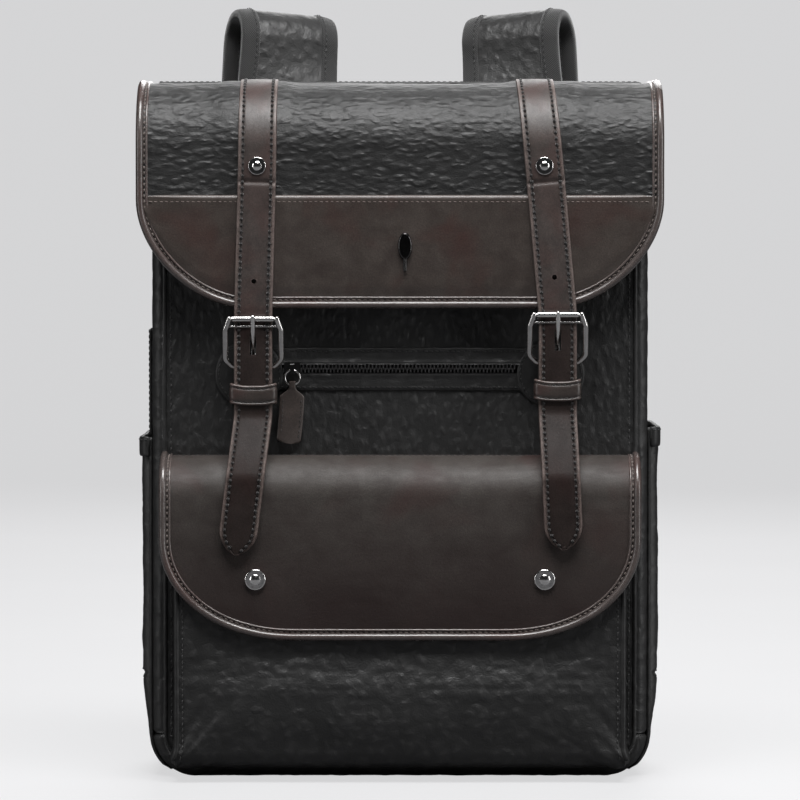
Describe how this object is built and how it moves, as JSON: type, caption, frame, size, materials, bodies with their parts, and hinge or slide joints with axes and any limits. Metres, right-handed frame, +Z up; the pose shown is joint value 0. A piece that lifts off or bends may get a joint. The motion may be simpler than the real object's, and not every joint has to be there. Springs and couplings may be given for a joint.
{
  "type": "leather backpack",
  "caption": "Backpack with a box-shaped body, an overhanging main flap with buckled closing straps, a lower flap pocket, side pockets and padded shoulder straps.",
  "frame": {"origin": "centre of the main body's footprint, on the floor", "axes": "+X to the right seen from the front, front faces -Y, +Z up"},
  "size_m": [0.316, 0.2207, 0.4715],
  "materials": {
    "black_leather": "crinkled grain, satin",
    "brown_leather": "smooth, waxed, mottled",
    "brown_edge_leather": "smooth rolled edge, stitched",
    "strap_leather": "smooth, stitched both edges",
    "lining_fabric": "plain woven polyester",
    "air_mesh": "honeycomb spacer mesh",
    "webbing": "ribbed webbing",
    "nickel": "polished nickel plate",
    "dark_metal": "gunmetal plate",
    "black_plastic": "moulded, fine texture"
  },
  "bodies": {
    "bag": {"front_panel": "black_leather", "back_panel": "black_leather", "left_gusset": "black_leather", "right_gusset": "black_leather", "base_panel": "black_leather", "lining": "lining_fabric", "laptop_divider": "lining_fabric", "rim_hem": "black_leather", "eyelets": "dark_metal", "drawcord": "webbing", "back_padding": "air_mesh", "back_yoke": "black_leather", "webbing_tabs": "black_leather", "webbing_left": "webbing", "webbing_right": "webbing", "strap_arch_left": "black_leather", "strap_arch_right": "black_leather", "side_placket": "black_leather", "side_pocket_left": "black_leather", "side_pocket_right": "black_leather", "lower_pocket": "black_leather", "magnet_discs": "dark_metal", "anchor_patches": "black_leather", "zip_tape": "webbing", "zip_teeth": "dark_metal"},
    "main_flap": {"flap_upper_panel": "black_leather", "flap_lower_panel": "brown_leather", "flap_lining": "lining_fabric", "flap_binding": "brown_edge_leather", "flap_badge": "dark_metal", "strap_rivets": "nickel", "chape_magnets": "dark_metal", "flap_strap_left": "strap_leather", "flap_strap_right": "strap_leather", "chape_left": "strap_leather", "chape_right": "strap_leather"},
    "pocket_flap": {"pocket_flap": "brown_leather", "pocket_flap_binding": "brown_edge_leather", "snap_caps": "nickel"},
    "zip_slider": {"zip_slider": "dark_metal"},
    "zip_ring": {"zip_ring": "nickel"},
    "zip_pull_tab": {"zip_pull_tab": "brown_leather"},
    "carry_handle": {"carry_handle": "black_leather"},
    "cord_lock": {"cord_lock_barrel": "black_plastic"},
    "cord_lock_button": {"cord_lock_button": "black_plastic"},
    "buckle_left": {"buckle_frame_left": "nickel"},
    "roller_left": {"buckle_roller_left": "nickel"},
    "prong_left": {"buckle_prong_left": "nickel"},
    "keeper_left": {"keeper_left": "strap_leather"},
    "strap_end_left": {"strap_end_left": "strap_leather"},
    "shoulder_strap_left": {"strap_pad_left": "black_leather"},
    "adjuster_left": {"strap_adjuster_left": "black_plastic"},
    "buckle_right": {"buckle_frame_right": "nickel"},
    "roller_right": {"buckle_roller_right": "nickel"},
    "prong_right": {"buckle_prong_right": "nickel"},
    "keeper_right": {"keeper_right": "strap_leather"},
    "strap_end_right": {"strap_end_right": "strap_leather"},
    "shoulder_strap_right": {"strap_pad_right": "black_leather"},
    "adjuster_right": {"strap_adjuster_right": "black_plastic"}
  },
  "joints": [
    {"name": "flap_hinge", "type": "hinge", "parent": "bag", "child": "main_flap", "pos_m": [0, 0.0535, 0.4183], "axis": [-1, 0, 0], "range_deg": [0, 95]},
    {"name": "pocket_flap_hinge", "type": "hinge", "parent": "bag", "child": "pocket_flap", "pos_m": [0, -0.0554, 0.1974], "axis": [-1, 0, 0], "range_deg": [0, 55]},
    {"name": "zip_slide", "type": "slide", "parent": "bag", "child": "zip_slider", "axis": [1, 0, 0], "range_m": [0, 0.13]},
    {"name": "zip_ring_swing", "type": "hinge", "parent": "zip_slider", "child": "zip_ring", "pos_m": [-0.065, -0.0583, 0.2472], "axis": [-1, 0, 0], "range_deg": [0, 70]},
    {"name": "zip_tab_swing", "type": "hinge", "parent": "zip_ring", "child": "zip_pull_tab", "pos_m": [-0.065, -0.0583, 0.2382], "axis": [-1, 0, 0], "range_deg": [0, 60]},
    {"name": "handle_swing", "type": "hinge", "parent": "bag", "child": "carry_handle", "pos_m": [0, 0.0632, 0.39], "axis": [1, 0, 0], "range_deg": [0, 140]},
    {"name": "cord_lock_slide", "type": "slide", "parent": "bag", "child": "cord_lock", "axis": [0, 0, 1], "range_m": [-0.015, 0.005]},
    {"name": "cord_lock_press", "type": "slide", "parent": "cord_lock", "child": "cord_lock_button", "axis": [-1, 0, 0], "range_m": [0, 0.0025], "stiffness_N_per_m": 400},
    {"name": "buckle_pivot_left", "type": "hinge", "parent": "main_flap", "child": "buckle_left", "pos_m": [-0.088, -0.0695, 0.25], "axis": [1, 0, 0], "range_deg": [0, 6]},
    {"name": "prong_pivot_left", "type": "hinge", "parent": "buckle_left", "child": "prong_left", "pos_m": [-0.088, -0.0695, 0.25], "axis": [1, 0, 0], "range_deg": [0, 6]},
    {"name": "roller_spin_left", "type": "hinge", "parent": "buckle_left", "child": "roller_left", "pos_m": [-0.088, -0.0776, 0.2785], "axis": [1, 0, 0], "continuous": true},
    {"name": "keeper_slide_left", "type": "slide", "parent": "main_flap", "child": "keeper_left", "axis": [0, 0, 1], "range_m": [-0.004, 0.004]},
    {"name": "strap_end_flex_left", "type": "hinge", "parent": "main_flap", "child": "strap_end_left", "pos_m": [-0.088, -0.0769, 0.22], "axis": [-1, 0, 0], "range_deg": [0, 55]},
    {"name": "shoulder_strap_flex_left", "type": "hinge", "parent": "bag", "child": "shoulder_strap_left", "pos_m": [-0.07412, 0.09769, 0.46886], "axis": [0.9361, 0.342, -0.0819], "range_deg": [0, 25]},
    {"name": "adjuster_slide_left", "type": "slide", "parent": "bag", "child": "adjuster_left", "axis": [0.2124, 0.2358, 0.9483], "range_m": [0, 0.06]},
    {"name": "buckle_pivot_right", "type": "hinge", "parent": "main_flap", "child": "buckle_right", "pos_m": [0.0945, -0.0695, 0.2525], "axis": [1, 0, 0], "range_deg": [0, 6]},
    {"name": "prong_pivot_right", "type": "hinge", "parent": "buckle_right", "child": "prong_right", "pos_m": [0.0945, -0.0695, 0.2525], "axis": [1, 0, 0], "range_deg": [0, 6]},
    {"name": "roller_spin_right", "type": "hinge", "parent": "buckle_right", "child": "roller_right", "pos_m": [0.0945, -0.0776, 0.281], "axis": [1, 0, 0], "continuous": true},
    {"name": "keeper_slide_right", "type": "slide", "parent": "main_flap", "child": "keeper_right", "axis": [0, 0, 1], "range_m": [-0.004, 0.004]},
    {"name": "strap_end_flex_right", "type": "hinge", "parent": "main_flap", "child": "strap_end_right", "pos_m": [0.0945, -0.0769, 0.2225], "axis": [-1, 0, 0], "range_deg": [0, 55]},
    {"name": "shoulder_strap_flex_right", "type": "hinge", "parent": "bag", "child": "shoulder_strap_right", "pos_m": [0.07412, 0.09769, 0.46886], "axis": [0.9361, -0.342, 0.0819], "range_deg": [0, 25]},
    {"name": "adjuster_slide_right", "type": "slide", "parent": "bag", "child": "adjuster_right", "axis": [-0.2124, 0.2358, 0.9483], "range_m": [0, 0.06]}
  ],
  "couplings": [
    {"joint": "strap_end_flex_left", "follows": "pocket_flap_hinge", "ratio": 1},
    {"joint": "strap_end_flex_right", "follows": "pocket_flap_hinge", "ratio": 1}
  ]
}
